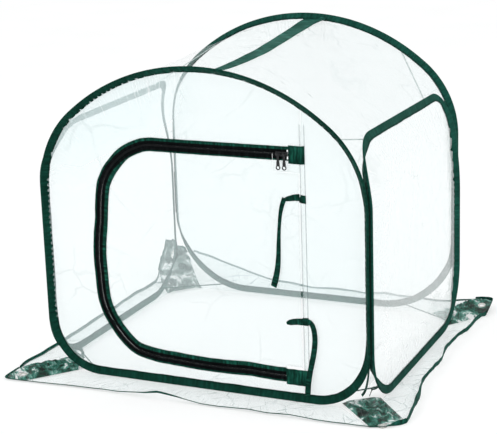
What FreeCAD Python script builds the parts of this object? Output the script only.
import FreeCAD, Part
import math
import os

from FreeCAD import Vector

# Folding shelter of four film walls, each on a sprung wire hoop, with a zipped door in the front
# wall, a film top and a ground skirt. Millimetres. The origin is on the ground under the middle
# of the shelter, +Z is up, the front (door side) faces -Y and +X is right as seen from the front.

os.makedirs("parts", exist_ok=True)

# ---------------------------------------------------------------- walls: driving sizes
FOLD_X = 353.5           # corner fold axes, half spacing across
FOLD_Y = 293.5           # corner fold axes, half spacing front to back
WALL_OFFSET = 3.2        # a wall's middle plane lies this far outside its fold axes
FRONT_Y = -(FOLD_Y + WALL_OFFSET)
BACK_Y = FOLD_Y + WALL_OFFSET
SIDE_X = FOLD_X + WALL_OFFSET

WIRE_R = 1.25            # hoop wire
HOOP_GAP = 1.0           # between the wire's ends, inside the ferrule
FERRULE_INNER_R, FERRULE_OUTER_R, FERRULE_LENGTH = 1.30, 1.70, 40.0
BAND_IN, BAND_OUT = 15.0, 2.4    # binding tape, measured inwards and outwards from the wire
BAND_HALF, BAND_WALL = 2.2, 0.45  # folded binding: half thickness, and thickness of the tape
BAND_FOLD_GAP = 0.6      # between the binding's edge and the fold axis
WIRE_Z = BAND_OUT + 2.4  # wire height at the bottom of every hoop
FILM = 0.4               # film thickness
FILM_OFFSET = -4.0       # film edge, from the wire's centre line
MIN_CORNER_R = 0.2       # least radius left on an outline moved inwards

# An outline is (corner points, rounding radii), counter-clockwise. Hoop outlines follow the
# wire's centre line: (x, z) for the front and back, (y, z) for the sides.
HOOP_HALF_X = FOLD_X - BAND_FOLD_GAP - BAND_OUT
SHOULDER_Z, PEAK_Z = 494.9, 770.5
BACK_RISE = 25.0         # the back hoop stands this much taller than the front one
HOOP_BASE = [(-HOOP_HALF_X, WIRE_Z), (HOOP_HALF_X, WIRE_Z)]
HOOP_UPPER = [(HOOP_HALF_X, SHOULDER_Z), (0.0, PEAK_Z), (-HOOP_HALF_X, SHOULDER_Z)]
PEAK_R = 426.0
UPPER_RADII = [205.0, PEAK_R, 205.0]
FRONT_HOOP = (HOOP_BASE + HOOP_UPPER, [112.0, 112.0] + UPPER_RADII)
BACK_HOOP = (HOOP_BASE + [(x, z + BACK_RISE) for x, z in HOOP_UPPER],
             [180.0, 180.0] + UPPER_RADII)
ROOF_SLOPE = math.atan2(PEAK_Z - SHOULDER_Z, HOOP_HALF_X)
HOOP_TOP = PEAK_Z - PEAK_R * (1 / math.cos(ROOF_SLOPE) - 1)   # top of the rounded front hoop

SIDE_HALF_Y = FOLD_Y - BAND_FOLD_GAP - BAND_OUT
SIDE_TOP = 533.0
SIDE_HOOP = ([(-SIDE_HALF_Y, WIRE_Z), (SIDE_HALF_Y, WIRE_Z), (SIDE_HALF_Y, 330.0),
              (228.0, SIDE_TOP), (-SIDE_HALF_Y, SIDE_TOP)],
             [112.0, 124.0, 260.0, 45.0, 112.0])

# Generous limits for cutting boxes
FAR = 900.0
LOW = -10.0


# ---------------------------------------------------------------- shared helpers
# A "place" function turns a point in a plane into a point in space.
def front_at(out=0.0):
    """Place (x, z) at a distance outwards from the front wall's middle plane."""
    return lambda q: Vector(q[0], FRONT_Y - out, q[1])


def ground_at(height):
    """Place (x, y) at a height above the ground."""
    return lambda q: Vector(q[0], q[1], height)


def shifted(place, move):
    return lambda q: place(q) + move


OUT_FRONT, UP, ACROSS = Vector(0, -1, 0), Vector(0, 0, 1), Vector(1, 0, 0)


def round_corners(outline, offset=0.0):
    """(start, middle, end) of each corner arc of a convex outline moved out by offset."""
    points, radii = outline
    sides = []
    for i, (x0, y0) in enumerate(points):
        x1, y1 = points[(i + 1) % len(points)]
        length = math.hypot(x1 - x0, y1 - y0)
        dx, dy = (x1 - x0) / length, (y1 - y0) / length
        sides.append((x0 + dy * offset, y0 - dx * offset, dx, dy))
    corners = []
    for i, corner_radius in enumerate(radii):
        x0, y0, dx0, dy0 = sides[i - 1]
        x1, y1, dx1, dy1 = sides[i]
        run = ((x1 - x0) * dy1 - (y1 - y0) * dx1) / (dx0 * dy1 - dy0 * dx1)
        x, y = x0 + dx0 * run, y0 + dy0 * run
        radius = max(corner_radius + offset, MIN_CORNER_R)
        tangent = radius * math.tan(math.acos(dx0 * dx1 + dy0 * dy1) / 2)
        start = (x - dx0 * tangent, y - dy0 * tangent)
        end = (x + dx1 * tangent, y + dy1 * tangent)
        centre_x, centre_y = start[0] - dy0 * radius, start[1] + dx0 * radius
        scale = radius / math.hypot(x - centre_x, y - centre_y)
        middle = (centre_x + (x - centre_x) * scale, centre_y + (y - centre_y) * scale)
        corners.append((start, middle, end))
    return corners


def path_edges(corners, begin, place):
    """Lines and arcs from the point begin through each corner arc in turn."""
    edges = []
    at = begin
    for start, middle, end in corners:
        if math.hypot(start[0] - at[0], start[1] - at[1]) > 1e-6:
            edges.append(Part.makeLine(place(at), place(start)))
        edges.append(Part.Arc(place(start), place(middle), place(end)).toShape())
        at = end
    return edges


def slab(outline, offset, place, along):
    """A filled outline, moved out by offset and extruded by the vector along."""
    corners = round_corners(outline, offset)
    edges = path_edges(corners, corners[-1][2], place)
    return Part.Face(Part.Wire(Part.__sortEdges__(edges))).extrude(along)


def ring(outline, inner, outer, place, along):
    """A flat ring between two offsets of one outline."""
    return slab(outline, outer, place, along).cut(slab(outline, inner, place, along))


def prism(points, place, along):
    corners = [place(q) for q in points]
    return Part.Face(Part.makePolygon(corners + [corners[0]])).extrude(along)


def box(x0, x1, y0, y1, z0, z1):
    return Part.makeBox(x1 - x0, y1 - y0, z1 - z0, Vector(x0, y0, z0))


def front_box(x0, x1, z0, z1, out0, out1):
    """A box whose depth is measured outwards from the front wall's middle plane."""
    return box(x0, x1, FRONT_Y - out1, FRONT_Y - out0, z0, z1)


def clean(shape):
    """Merge split faces and return the single solid, or a compound of several."""
    solids = shape.removeSplitter().Solids
    return solids[0] if len(solids) == 1 else Part.makeCompound(solids)


def put(name, *shapes):
    """Write one piece, made of one or more closed solids."""
    solids = [solid for shape in shapes for solid in shape.Solids]
    for solid in solids:
        if not solid.isValid() or solid.Volume <= 0:
            raise RuntimeError("bad solid in " + name)
    piece = solids[0] if len(solids) == 1 else Part.makeCompound(solids)
    piece.exportStep("parts/%s.step" % name)


# ---------------------------------------------------------------- hoops, bindings and films
def hoop_wire(outline, place, bottom):
    """Wire bent to the outline, its two ends facing each other at the middle of the bottom."""
    begin, finish = (HOOP_GAP / 2, WIRE_Z), (-HOOP_GAP / 2, WIRE_Z)
    corners = round_corners(outline)
    edges = path_edges(corners[1:] + corners[:1], begin, place)
    edges.append(Part.makeLine(place(corners[0][2]), place(finish)))
    profile = Part.Wire([Part.makeCircle(WIRE_R, place(begin), bottom)])
    return Part.Wire(edges).makePipeShell([profile], True, True)


def ferrule(place, bottom):
    """Tube round the wire's ends."""
    end = place((-FERRULE_LENGTH / 2, WIRE_Z))
    bore = Part.makeCylinder(FERRULE_INNER_R, FERRULE_LENGTH + 2, end - bottom, bottom)
    return Part.makeCylinder(FERRULE_OUTER_R, FERRULE_LENGTH, end, bottom).cut(bore)


def binding(outline, place, normal):
    """Tape folded over the wire and the film's edge: an open channel facing inwards."""
    core_half = BAND_HALF - BAND_WALL
    body = ring(outline, -BAND_IN, BAND_OUT,
                shifted(place, normal * -BAND_HALF), normal * (2 * BAND_HALF))
    core = ring(outline, -BAND_IN - 2, BAND_OUT - BAND_WALL,
                shifted(place, normal * -core_half), normal * (2 * core_half))
    return clean(body.cut(core))


def film(outline, offset, place, normal):
    return slab(outline, offset, shifted(place, normal * (-FILM / 2)), normal * FILM)


# name, outline, place, outward normal, direction of the hoop's bottom run
WALLS = (
    ("front", FRONT_HOOP, front_at(), OUT_FRONT, ACROSS),
    ("back", BACK_HOOP, lambda q: Vector(q[0], BACK_Y, q[1]), Vector(0, 1, 0), ACROSS),
    ("right", SIDE_HOOP, lambda q: Vector(SIDE_X, q[0], q[1]), ACROSS, Vector(0, 1, 0)),
    ("left", SIDE_HOOP, lambda q: Vector(-SIDE_X, q[0], q[1]), Vector(-1, 0, 0),
     Vector(0, 1, 0)),
)
for name, outline, place, normal, bottom in WALLS:
    put(name + "_hoop_wire", hoop_wire(outline, place, bottom))
    put(name + "_hoop_ferrule", ferrule(place, bottom))
    put(name + "_binding", binding(outline, place, normal))
    if name != "front":
        put(name + "_sheet", film(outline, FILM_OFFSET, place, normal))

# ---------------------------------------------------------------- front wall films and door
# The zip line runs along the bottom, left and top of this outline. Its right side lies beyond
# the wall and everything made from it is cut off before that.
ZIP_LEFT, ZIP_RIGHT, ZIP_BOTTOM, ZIP_TOP = -223.0, 500.0, 54.0, 498.0
ZIP_LINE = ([(ZIP_LEFT, ZIP_BOTTOM), (ZIP_RIGHT, ZIP_BOTTOM),
             (ZIP_RIGHT, ZIP_TOP), (ZIP_LEFT, ZIP_TOP)],
            [150.0, 1.0, 1.0, 140.0])
FILM_ZIP_GAP = 12.0                    # film edges stop this far either side of the zip line
SEAM_X = 217.2                         # free edge of the fixed right-hand film
DOOR_X = 214.5                         # right edge of the door film
UPPER_NOTCH_X, UPPER_NOTCH_Z = 162.0, 462.0   # cut from the door beside the parked sliders
LOWER_NOTCH_X, LOWER_NOTCH_Z = 182.0, 74.0    # cut from the door at the zip's bottom end


def front_cutter(outline, offset):
    """A slab right through the front wall and the layers near it."""
    return slab(outline, offset, front_at(5), Vector(0, 10, 0))


def front_films():
    """Left film with the door opening, and right film with a tab above the door's notch."""
    whole = film(FRONT_HOOP, FILM_OFFSET, front_at(), OUT_FRONT)
    left = whole.common(front_box(-FAR, SEAM_X - 0.4, LOW, FAR, -1, 1))
    left = left.cut(front_cutter(ZIP_LINE, FILM_ZIP_GAP))
    right = whole.common(front_box(SEAM_X, FAR, LOW, FAR, -1, 1))
    tab = front_box(UPPER_NOTCH_X + 0.5, SEAM_X + 1, UPPER_NOTCH_Z + 0.5, ZIP_TOP - 10,
                    -FILM / 2, FILM / 2)
    put("front_sheet_left", clean(left))
    put("front_sheet_right", clean(right.fuse(tab)))


def door():
    sheet = film(ZIP_LINE, -FILM_ZIP_GAP, front_at(), OUT_FRONT)
    sheet = sheet.common(front_box(-FAR, DOOR_X, LOW, FAR, -1, 1))
    sheet = sheet.cut(front_box(UPPER_NOTCH_X, FAR, UPPER_NOTCH_Z, FAR, -1, 1))
    sheet = sheet.cut(front_box(LOWER_NOTCH_X, FAR, LOW, LOWER_NOTCH_Z, -1, 1))
    put("door_sheet", clean(sheet))


def seam_tape():
    """Upright tape on the edge of the right film, ending inside the hoop's binding."""
    tape = front_box(SEAM_X + 0.2, SEAM_X + 11.5, 0, FAR, 0.30, 0.62)
    put("door_seam_tape", clean(tape.common(front_cutter(FRONT_HOOP, -BAND_IN - 2.0))))


front_films()
door()
seam_tape()

# ---------------------------------------------------------------- zip
# Each strip: near and far distance from the zip line, then near and far height off the wall.
# "Outer" strips lie on the fixed film's side of the line, "inner" ones on the door's side.
ZIP_TAPE = (0.6, 15.0, 0.5, 1.1)
ZIP_COIL = (0.15, 2.6, 1.15, 2.9)
OUTER_COVER = (8.5, 15.5, 1.2, 1.75)
INNER_COVER = (8.5, 16.5, 1.2, 1.75)
ZIP_END_X = 195.5
COVER_END_X = SEAM_X - 1.2
WEB_X = UPPER_NOTCH_X + 1              # left end of the short strips above the notch
ZIP_MID_Z = 300.0                      # parts the zip's upper and lower runs


def outer_strip(strip, right):
    near, far, out0, out1 = strip
    band = ring(ZIP_LINE, near, far, front_at(out0), OUT_FRONT * (out1 - out0))
    return clean(band.common(front_box(-FAR, right, LOW, FAR, out0 - 1, out1 + 1)))


def inner_strip(strip, left, right):
    near, far, out0, out1 = strip
    band = ring(ZIP_LINE, -far, -near, front_at(out0), OUT_FRONT * (out1 - out0))
    return clean(band.common(front_box(left, right, LOW, FAR, out0 - 1, out1 + 1)))


def door_strip(strip):
    """Door's side of the zip, ending at the parked sliders above and the end patch below."""
    lower_end = box(LOWER_NOTCH_X - 2, FAR, -FAR, FAR, LOW, ZIP_MID_Z)
    return clean(inner_strip(strip, -FAR, UPPER_NOTCH_X).cut(lower_end))


def end_strip(strip, right):
    """Short strip under the top run of the zip, at its right end."""
    upper = box(-FAR, FAR, -FAR, FAR, ZIP_MID_Z, FAR)
    return clean(inner_strip(strip, WEB_X, right).common(upper))


put("zip_tape_outer", outer_strip(ZIP_TAPE, ZIP_END_X))
put("zip_coil_outer", outer_strip(ZIP_COIL, ZIP_END_X))
put("opening_cover_tape", outer_strip(OUTER_COVER, COVER_END_X))
put("zip_tape_inner", door_strip(ZIP_TAPE))
put("zip_coil_inner", door_strip(ZIP_COIL))
put("door_cover_tape", door_strip(INNER_COVER))
put("zip_end_web", end_strip(ZIP_TAPE, ZIP_END_X), end_strip(ZIP_COIL, ZIP_END_X))
put("zip_end_cover", end_strip(INNER_COVER, COVER_END_X))

# Patches over the zip's two ends: x0, x1, z0, z1, out0, out1 of the flat face, then of the
# block behind its right edge.
END_PATCHES = (
    ((196.0, 228.0, 481.0, 515.0, 3.0, 3.6), (214.5, 228.0, 481.0, 515.0, 1.85, 3.1)),
    ((181.0, 227.0, 38.0, 70.0, 3.0, 3.6), (216.4, 227.0, 38.0, 70.0, 0.75, 3.1)),
)
put("zip_end_patches", *[front_box(*face).fuse(front_box(*block)) for face, block in END_PATCHES])

# ---------------------------------------------------------------- zip sliders and pulls
SLIDER_X = {"a": 176.0, "b": 188.5}
SLIDER_LENGTH, SLIDER_HALF_Z = 11.0, 4.4
FLANGE_Z = 3.2                         # inner face of the shell's upper and lower flanges
POST_X, POST_HALF_X, POST_HALF_Z = 3.6, 0.8, 1.4
BAR_OUT, BAR_R = 6.1, 0.80             # the pull's bar, and its distance off the wall plane
EYE_R, EYE_HOLE_R, EYE_HALF_X = 1.75, 0.86, 2.3
PULL_T = 1.3
# pull's tab: distance below the bar, half width
PULL_TAB = [(0.0, EYE_HALF_X), (9.0, 2.1), (17.0, 3.1), (24.0, 3.4)]
PULL_RING_DROP, PULL_RING_R, PULL_RING_HOLE_R = 26.0, 4.6, 2.7


def bar_rod(radius, length, x):
    """Rod on the bar's axis, centred at x."""
    return Part.makeCylinder(radius, length, Vector(x - length / 2, FRONT_Y - BAR_OUT, ZIP_TOP),
                             ACROSS)


def pull_disc(radius, thick, x):
    """Disc at the pull's lower end, centred on the pull's thickness."""
    centre = Vector(x, FRONT_Y - BAR_OUT + thick / 2, ZIP_TOP - PULL_RING_DROP)
    return Part.makeCylinder(radius, thick, centre, OUT_FRONT)


def slider(x):
    """Front shell over the two coil rows, with a bar on two posts, and a separate back plate."""
    def part(z0, z1, out0, out1):
        return front_box(x - SLIDER_LENGTH / 2, x + SLIDER_LENGTH / 2,
                         ZIP_TOP + z0, ZIP_TOP + z1, out0, out1)

    shell = part(-SLIDER_HALF_Z, SLIDER_HALF_Z, 3.25, 4.3)
    shell = shell.fuse([part(FLANGE_Z, SLIDER_HALF_Z, 1.4, 3.3),
                        part(-SLIDER_HALF_Z, -FLANGE_Z, 1.4, 3.3)])
    for post_x in (x - POST_X, x + POST_X):
        post = front_box(post_x - POST_HALF_X, post_x + POST_HALF_X,
                         ZIP_TOP - POST_HALF_Z, ZIP_TOP + POST_HALF_Z, 4.2, BAR_OUT)
        shell = shell.fuse([post, bar_rod(POST_HALF_Z, 2 * POST_HALF_X, post_x)])
    shell = shell.fuse(bar_rod(BAR_R, 2 * POST_X, x))
    return clean(shell), part(-SLIDER_HALF_Z, SLIDER_HALF_Z, -0.75, 0.35)


def pull(x):
    """Flat pull hanging from the bar: an eye, a waisted tab and a ring at the end."""
    left = [(x - half, ZIP_TOP - drop) for drop, half in PULL_TAB]
    right = [(x + half, ZIP_TOP - drop) for drop, half in PULL_TAB]
    tab = prism(left + right[::-1], front_at(BAR_OUT - PULL_T / 2), OUT_FRONT * PULL_T)
    body = bar_rod(EYE_R, 2 * EYE_HALF_X, x).fuse([tab, pull_disc(PULL_RING_R, PULL_T, x)])
    body = body.cut(pull_disc(PULL_RING_HOLE_R, 5, x))
    return clean(body.cut(bar_rod(EYE_HOLE_R, 8, x)))


for tag, x in SLIDER_X.items():
    put("zip_slider_" + tag, *slider(x))
    put("zip_pull_" + tag, pull(x))

# ---------------------------------------------------------------- roll-up ties
TIE_T = 0.8
TIE_WIDTH = 10.0
ANCHOR_Z = ((405.0, 421.0), (162.0, 178.0))
# outlines of the tabs and centre lines of the tails: (x, z)
TIE_TABS = (
    [(214.0, 421.0), (190.0, 418.0), (182.0, 410.5), (190.0, 402.5), (214.0, 405.5)],
    [(214.0, 177.5), (192.0, 175.0), (183.0, 166.0), (190.0, 158.5), (214.0, 162.0)],
)
UPPER_TAIL = [(187.0, 411.0), (179.0, 385.0), (174.0, 350.0), (172.0, 318.0),
              (172.5, 290.0), (168.0, 262.0), (160.0, 234.0)]
LOWER_TAIL = [(225.0, 170.0), (236.0, 163.0), (243.0, 150.0), (246.0, 128.0),
              (242.0, 99.0), (236.0, 62.0), (233.0, 22.0)]


def tail(path, out):
    """Flat ribbon along a path in the wall's plane, with a round head at its first point."""
    left, right = [], []
    for i, (x, z) in enumerate(path):
        x0, z0 = path[max(i - 1, 0)]
        x1, z1 = path[min(i + 1, len(path) - 1)]
        scale = TIE_WIDTH / 2 / math.hypot(x1 - x0, z1 - z0)
        side_x, side_z = -(z1 - z0) * scale, (x1 - x0) * scale
        left.append((x + side_x, z + side_z))
        right.append((x - side_x, z - side_z))
    ribbon = prism(left + right[::-1], front_at(out), OUT_FRONT * TIE_T)
    head = Part.makeCylinder(TIE_WIDTH / 2 + 0.6, TIE_T, front_at(out)(path[0]), OUT_FRONT)
    return clean(ribbon.fuse(head))


put("tie_anchors", *[front_box(SEAM_X - 0.2, 229.0, z0, z1, 0.75, 1.5) for z0, z1 in ANCHOR_Z])
put("tie_tabs", *[prism(points, front_at(1.0), OUT_FRONT * TIE_T) for points in TIE_TABS])
put("upper_tie_tail", tail(UPPER_TAIL, 2.2))
put("lower_tie_tail", tail(LOWER_TAIL, 2.6))

# ---------------------------------------------------------------- corner seams
CORD_R = 0.9             # cord on each corner fold axis
# end, sign of y, bottom and top of the cord
for end, y_sign, z0, z1 in (("front", -1, 118.0, 393.0), ("back", 1, 187.0, 289.0)):
    for side, x_sign in (("right", 1), ("left", -1)):
        foot = Vector(x_sign * FOLD_X, y_sign * FOLD_Y, z0)
        put("corner_seam_%s_%s" % (end, side), Part.makeCylinder(CORD_R, z1 - z0, foot))

# ---------------------------------------------------------------- top film
TOP_T = 0.5
TOP_POINTS = 13          # points across each section
TOP_END_Y = FOLD_Y - 0.2
# y, half width, height of the crown, fall from the crown to the edge
TOP_SECTIONS = (
    (-TOP_END_Y, 262.0, HOOP_TOP - 3.2, 92.0),
    (-178.0, 350.0, HOOP_TOP - 7.0, 116.0),
    (0.0, 352.0, HOOP_TOP - 1.0, 121.5),
    (185.0, 351.0, HOOP_TOP + 12.0, 135.0),
    (TOP_END_Y, 250.0, HOOP_TOP + BACK_RISE - 3.2, 84.0),
)


def top_section(y, half_width, crown, fall):
    """Closed cross-section of the top film, a shallow arch."""
    upper = []
    for i in range(TOP_POINTS):
        across = -1 + 2 * i / (TOP_POINTS - 1)
        z = crown - fall * (0.55 * across ** 2 + 0.45 * abs(across) ** 3.2)
        upper.append(Vector(half_width * across, y, z))
    lower = [point - UP * TOP_T for point in upper]
    return Part.makePolygon(upper + lower[::-1] + [upper[0]])


put("top_sheet", Part.makeLoft([top_section(*row) for row in TOP_SECTIONS], True, True))

# ---------------------------------------------------------------- gussets
GUSSET_T = 0.5
GUSSET_X = 352.5         # corners on the side walls
GUSSET_END_Y = FOLD_Y - 1.5
GUSSET_TOP_Z = 524.0
GUSSET_FOOT_Y, GUSSET_FOOT_Z = 217.0, 3.6
# end, sign of y, y of the top gusset's side corner, its lower and upper (x, z) on the end wall,
# then the bottom gusset's height at the corner and its foot's x on the end wall
GUSSETS = (
    ("front", -1, 190.0, (336.0, 452.0), (268.0, 548.0), 108.0, 276.0),
    ("back", 1, 197.0, (346.0, 400.0), (258.0, 574.0), 170.0, 205.0),
)


def triangle(corners, x_sign, y_sign):
    """Thin triangular plate, mirrored by the two signs."""
    first, second, third = [Vector(x_sign * x, y_sign * y, z) for x, y, z in corners]
    normal = (second - first).cross(third - first)
    normal.normalize()
    outline = Part.makePolygon([first, second, third, first])
    return Part.Face(outline).extrude(normal * GUSSET_T)


for end, y_sign, side_y, lower, upper, corner_z, foot_x in GUSSETS:
    top_corners = [(lower[0], GUSSET_END_Y, lower[1]), (upper[0], GUSSET_END_Y, upper[1]),
                   (GUSSET_X, side_y, GUSSET_TOP_Z)]
    bottom_corners = [(GUSSET_X, GUSSET_END_Y, corner_z), (foot_x, GUSSET_END_Y, GUSSET_FOOT_Z),
                      (GUSSET_X, GUSSET_FOOT_Y, GUSSET_FOOT_Z)]
    put("top_gussets_" + end, *[triangle(top_corners, sign, y_sign) for sign in (-1, 1)])
    put("bottom_gussets_" + end, *[triangle(bottom_corners, sign, y_sign) for sign in (-1, 1)])

# ---------------------------------------------------------------- strap over the top
STRAP_X, STRAP_WIDTH, STRAP_T = 30.0, 30.0, 1.0
STRAP_OVERHANG = 5.5     # past the front and back wall planes
STRAP_Z = HOOP_TOP + BAND_OUT + 0.7    # underside at the front end


def strap():
    """Straight strap from front to back, just clear of both hoops' bindings."""
    front, back = FRONT_Y - STRAP_OVERHANG, BACK_Y + STRAP_OVERHANG
    back_z = STRAP_Z + BACK_RISE
    points = [(front, STRAP_Z), (back, back_z), (back, back_z + STRAP_T),
              (front, STRAP_Z + STRAP_T)]
    return prism(points, lambda q: Vector(STRAP_X - STRAP_WIDTH / 2, q[0], q[1]),
                 ACROSS * STRAP_WIDTH)


put("top_strap", strap())

# ---------------------------------------------------------------- ground skirt
SKIRT_T = 0.5
SKIRT_LIFT = 0.85        # the front and back flaps lie higher than the side flaps
IN_X, OUT_X = 352.0, 418.0             # side flaps, inner and outer edge
IN_Y, OUT_Y = 292.0, 374.0             # front and back flaps, inner and outer edge
END_IN_HALF, END_OUT_HALF = 290.0, 370.0     # front and back flaps, half lengths of those edges
SIDE_IN_HALF, SIDE_OUT_HALF = 225.0, 318.0   # side flaps, half lengths of those edges
FLAP_GAP = 1.0           # between a flap's ends and the corner patches, along the edges
EDGE_GAP, EDGE_REACH = 0.4, 9.5        # edging strip, from the flap's outer edge
PATCH_Z, PATCH_T, CORNER_EDGE_T = 0.6, 0.6, 1.4
GROMMET_X, GROMMET_Y = 394.0, 350.0
GROMMET_HOLE_R, GROMMET_TUBE_R, GROMMET_FLANGE_R = 5.0, 5.5, 9.0
GROMMET_HEIGHT, FLANGE_T = 1.8, 0.55


def end_flap(name, sign):
    """Front or back flap and its edging strip."""
    points = [(-END_IN_HALF, sign * IN_Y), (END_IN_HALF, sign * IN_Y),
              (END_OUT_HALF, sign * OUT_Y), (-END_OUT_HALF, sign * OUT_Y)]
    put("skirt_" + name, prism(points, ground_at(SKIRT_LIFT), UP * SKIRT_T))
    y0, y1 = sorted((sign * (OUT_Y + EDGE_GAP), sign * (OUT_Y + EDGE_REACH)))
    put("skirt_edge_" + name, box(-END_OUT_HALF, END_OUT_HALF, y0, y1,
                                  SKIRT_LIFT - 0.05, SKIRT_LIFT + SKIRT_T + 0.1))


def side_flap(name, sign):
    """Right or left flap and its edging strip."""
    points = [(sign * IN_X, -SIDE_IN_HALF), (sign * IN_X, SIDE_IN_HALF),
              (sign * OUT_X, SIDE_OUT_HALF), (sign * OUT_X, -SIDE_OUT_HALF)]
    put("skirt_" + name, prism(points, ground_at(0), UP * SKIRT_T))
    x0, x1 = sorted((sign * (OUT_X + EDGE_GAP), sign * (OUT_X + EDGE_REACH)))
    put("skirt_edge_" + name, box(x0, x1, -SIDE_OUT_HALF, SIDE_OUT_HALF, 0, SKIRT_T + 0.15))


def corner_prism(points, x_sign, y_sign, height, thick):
    mirrored = [(x_sign * x, y_sign * y) for x, y in points]
    return prism(mirrored, ground_at(height), UP * thick)


def corner_patch(x_sign, y_sign):
    """Five-sided patch between two flaps, with a hole for the grommet."""
    points = [(END_IN_HALF + FLAP_GAP, IN_Y), (IN_X, SIDE_IN_HALF + FLAP_GAP),
              (OUT_X, SIDE_OUT_HALF + FLAP_GAP), (OUT_X, OUT_Y), (END_OUT_HALF + FLAP_GAP, OUT_Y)]
    hole = Part.makeCylinder(GROMMET_TUBE_R + 0.1, 5,
                             Vector(x_sign * GROMMET_X, y_sign * GROMMET_Y, -1))
    return corner_prism(points, x_sign, y_sign, PATCH_Z, PATCH_T).cut(hole)


def corner_edge(x_sign, y_sign):
    """L-shaped edging round the outside of a corner patch."""
    start_x, start_y = END_OUT_HALF + FLAP_GAP, SIDE_OUT_HALF + FLAP_GAP
    near_x, near_y = OUT_X + EDGE_GAP, OUT_Y + EDGE_GAP
    far_x, far_y = OUT_X + EDGE_REACH, OUT_Y + EDGE_REACH
    points = [(start_x, near_y), (start_x, far_y), (far_x, far_y),
              (far_x, start_y), (near_x, start_y), (near_x, near_y)]
    return corner_prism(points, x_sign, y_sign, 0, CORNER_EDGE_T)


def grommet(x_sign, y_sign):
    """Tube with a flange at each end."""
    def disc(radius, height, z):
        return Part.makeCylinder(radius, height,
                                 Vector(x_sign * GROMMET_X, y_sign * GROMMET_Y, z))

    body = disc(GROMMET_TUBE_R, GROMMET_HEIGHT, 0)
    body = body.fuse([disc(GROMMET_FLANGE_R, FLANGE_T, 0),
                      disc(GROMMET_FLANGE_R, FLANGE_T, GROMMET_HEIGHT - FLANGE_T)])
    return clean(body.cut(disc(GROMMET_HOLE_R, 5, -1)))


for name, sign in (("right", 1), ("left", -1)):
    side_flap(name, sign)
for name, sign in (("front", -1), ("back", 1)):
    end_flap(name, sign)
    for piece, build in (("corner_patches_", corner_patch), ("corner_edges_", corner_edge),
                         ("grommets_", grommet)):
        put(piece + name, *[build(x_sign, sign) for x_sign in (-1, 1)])
